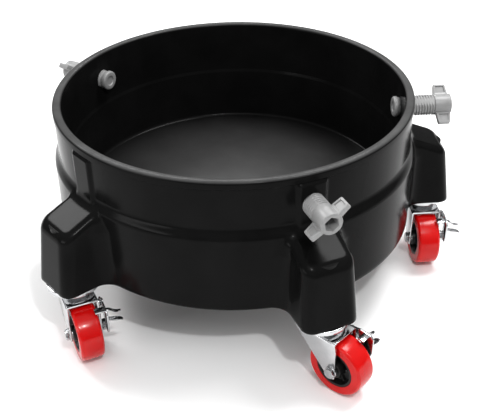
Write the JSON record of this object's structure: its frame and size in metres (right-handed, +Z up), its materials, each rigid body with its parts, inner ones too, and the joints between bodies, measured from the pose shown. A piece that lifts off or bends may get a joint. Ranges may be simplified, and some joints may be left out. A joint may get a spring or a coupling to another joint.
{
  "type": "wheeled bucket dolly",
  "caption": "Round open-top bucket dolly: moulded tray on braked swivel casters, with winged clamp screws that hold the bucket.",
  "frame": {"origin": "centre of the tray floor's top face, where the bucket stands", "axes": "+Z up; +X through the middle of the right leg; legs every 72 degrees"},
  "size_m": [0.3826, 0.4064, 0.1832],
  "materials": {
    "tray_plastic": "glossy moulded black",
    "screw_plastic": "satin moulded grey",
    "chrome_steel": "bright plated pressed steel",
    "zinc_steel": "bright zinc plate",
    "ball_steel": "ground and greased",
    "red_tyre": "glossy cast polyurethane",
    "core_plastic": "satin moulded black"
  },
  "bodies": {
    "tray": {"tray_body": "tray_plastic", "caster_stems": "zinc_steel", "stem_inserts": "zinc_steel", "upper_race_right": "chrome_steel", "upper_race_rear_right": "chrome_steel", "upper_race_rear_left": "chrome_steel", "upper_race_front_left": "chrome_steel", "upper_race_front_right": "chrome_steel"},
    "pad_right": {"clamp_pad_right": "screw_plastic"},
    "screw_right": {"clamp_screw_right": "screw_plastic"},
    "pad_rear_left": {"clamp_pad_rear_left": "screw_plastic"},
    "screw_rear_left": {"clamp_screw_rear_left": "screw_plastic"},
    "pad_front_right": {"clamp_pad_front_right": "screw_plastic"},
    "screw_front_right": {"clamp_screw_front_right": "screw_plastic"},
    "swivel_right": {"swivel_balls_right": "ball_steel", "fork_right": "chrome_steel", "axle_bolt_right": "zinc_steel", "axle_nut_right": "zinc_steel", "axle_sleeve_right": "zinc_steel", "brake_rivet_right": "zinc_steel"},
    "wheel_right": {"tyre_right": "red_tyre", "wheel_core_right": "core_plastic"},
    "brake_right": {"brake_lever_right": "chrome_steel"},
    "swivel_rear_right": {"swivel_balls_rear_right": "ball_steel", "fork_rear_right": "chrome_steel", "axle_bolt_rear_right": "zinc_steel", "axle_nut_rear_right": "zinc_steel", "axle_sleeve_rear_right": "zinc_steel", "brake_rivet_rear_right": "zinc_steel"},
    "wheel_rear_right": {"tyre_rear_right": "red_tyre", "wheel_core_rear_right": "core_plastic"},
    "brake_rear_right": {"brake_lever_rear_right": "chrome_steel"},
    "swivel_rear_left": {"swivel_balls_rear_left": "ball_steel", "fork_rear_left": "chrome_steel", "axle_bolt_rear_left": "zinc_steel", "axle_nut_rear_left": "zinc_steel", "axle_sleeve_rear_left": "zinc_steel", "brake_rivet_rear_left": "zinc_steel"},
    "wheel_rear_left": {"tyre_rear_left": "red_tyre", "wheel_core_rear_left": "core_plastic"},
    "brake_rear_left": {"brake_lever_rear_left": "chrome_steel"},
    "swivel_front_left": {"swivel_balls_front_left": "ball_steel", "fork_front_left": "chrome_steel", "axle_bolt_front_left": "zinc_steel", "axle_nut_front_left": "zinc_steel", "axle_sleeve_front_left": "zinc_steel", "brake_rivet_front_left": "zinc_steel"},
    "wheel_front_left": {"tyre_front_left": "red_tyre", "wheel_core_front_left": "core_plastic"},
    "brake_front_left": {"brake_lever_front_left": "chrome_steel"},
    "swivel_front_right": {"swivel_balls_front_right": "ball_steel", "fork_front_right": "chrome_steel", "axle_bolt_front_right": "zinc_steel", "axle_nut_front_right": "zinc_steel", "axle_sleeve_front_right": "zinc_steel", "brake_rivet_front_right": "zinc_steel"},
    "wheel_front_right": {"tyre_front_right": "red_tyre", "wheel_core_front_right": "core_plastic"},
    "brake_front_right": {"brake_lever_front_right": "chrome_steel"}
  },
  "joints": [
    {"name": "pad_travel_right", "type": "slide", "parent": "tray", "child": "pad_right", "axis": [-1, 0, 0], "range_m": [-0.005, 0.0184]},
    {"name": "screw_turn_right", "type": "hinge", "parent": "pad_right", "child": "screw_right", "pos_m": [0.18, 0, 0.076], "axis": [-1, 0, 0], "range_deg": [-720, 2649.6]},
    {"name": "pad_travel_rear_left", "type": "slide", "parent": "tray", "child": "pad_rear_left", "axis": [0.809, -0.5878, 0], "range_m": [-0.008, 0.0154]},
    {"name": "screw_turn_rear_left", "type": "hinge", "parent": "pad_rear_left", "child": "screw_rear_left", "pos_m": [-0.14562, 0.1058, 0.076], "axis": [0.809, -0.5878, 0], "range_deg": [-1152, 2217.6]},
    {"name": "pad_travel_front_right", "type": "slide", "parent": "tray", "child": "pad_front_right", "axis": [-0.309, 0.9511, 0], "range_m": [-0.012, 0.0114]},
    {"name": "screw_turn_front_right", "type": "hinge", "parent": "pad_front_right", "child": "screw_front_right", "pos_m": [0.05562, -0.17119, 0.076], "axis": [-0.309, 0.9511, 0], "range_deg": [-1728, 1641.6]},
    {"name": "swivel_turn_right", "type": "hinge", "parent": "tray", "child": "swivel_right", "pos_m": [0.1798, 0, -0.0235], "axis": [0, 0, 1], "continuous": true},
    {"name": "wheel_spin_right", "type": "hinge", "parent": "swivel_right", "child": "wheel_right", "pos_m": [0.17984, -0.0215, -0.0558], "axis": [1, 0.0017, 0], "continuous": true},
    {"name": "brake_press_right", "type": "hinge", "parent": "swivel_right", "child": "brake_right", "pos_m": [0.17983, -0.019, -0.033], "axis": [1, 0.0017, 0], "range_deg": [0, 9]},
    {"name": "swivel_turn_rear_right", "type": "hinge", "parent": "tray", "child": "swivel_rear_right", "pos_m": [0.05556, 0.171, -0.0235], "axis": [0, 0, 1], "continuous": true},
    {"name": "wheel_spin_rear_right", "type": "hinge", "parent": "swivel_rear_right", "child": "wheel_rear_right", "pos_m": [0.0604, 0.15005, -0.0558], "axis": [0.9744, 0.225, 0], "continuous": true},
    {"name": "brake_press_rear_right", "type": "hinge", "parent": "swivel_rear_right", "child": "brake_rear_right", "pos_m": [0.05984, 0.15249, -0.033], "axis": [0.9744, 0.225, 0], "range_deg": [0, 9]},
    {"name": "swivel_turn_rear_left", "type": "hinge", "parent": "tray", "child": "swivel_rear_left", "pos_m": [-0.14546, 0.10568, -0.0235], "axis": [0, 0, 1], "continuous": true},
    {"name": "wheel_spin_rear_left", "type": "hinge", "parent": "swivel_rear_left", "child": "wheel_rear_left", "pos_m": [-0.13439, 0.08725, -0.0558], "axis": [0.8572, 0.515, 0], "continuous": true},
    {"name": "brake_press_rear_left", "type": "hinge", "parent": "swivel_rear_left", "child": "brake_rear_left", "pos_m": [-0.13568, 0.0894, -0.033], "axis": [0.8572, 0.515, 0], "range_deg": [0, 9]},
    {"name": "swivel_turn_front_left", "type": "hinge", "parent": "tray", "child": "swivel_front_left", "pos_m": [-0.14546, -0.10568, -0.0235], "axis": [0, 0, 1], "continuous": true},
    {"name": "wheel_spin_front_left", "type": "hinge", "parent": "swivel_front_left", "child": "wheel_front_left", "pos_m": [-0.13836, -0.12598, -0.0558], "axis": [0.9438, 0.3305, 0], "continuous": true},
    {"name": "brake_press_front_left", "type": "hinge", "parent": "swivel_front_left", "child": "brake_front_left", "pos_m": [-0.13918, -0.12362, -0.033], "axis": [0.9438, 0.3305, 0], "range_deg": [0, 9]},
    {"name": "swivel_turn_front_right", "type": "hinge", "parent": "tray", "child": "swivel_front_right", "pos_m": [0.05556, -0.171, -0.0235], "axis": [0, 0, 1], "continuous": true},
    {"name": "wheel_spin_front_right", "type": "hinge", "parent": "swivel_front_right", "child": "wheel_front_right", "pos_m": [0.07044, -0.18652, -0.0558], "axis": [0.7218, 0.6921, 0], "continuous": true},
    {"name": "brake_press_front_right", "type": "hinge", "parent": "swivel_front_right", "child": "brake_front_right", "pos_m": [0.06871, -0.18471, -0.033], "axis": [0.7218, 0.6921, 0], "range_deg": [0, 9]}
  ],
  "couplings": [
    {"joint": "pad_travel_right", "follows": "screw_turn_right", "m_per_rad": 0.00039789},
    {"joint": "pad_travel_rear_left", "follows": "screw_turn_rear_left", "m_per_rad": 0.00039789},
    {"joint": "pad_travel_front_right", "follows": "screw_turn_front_right", "m_per_rad": 0.00039789}
  ]
}
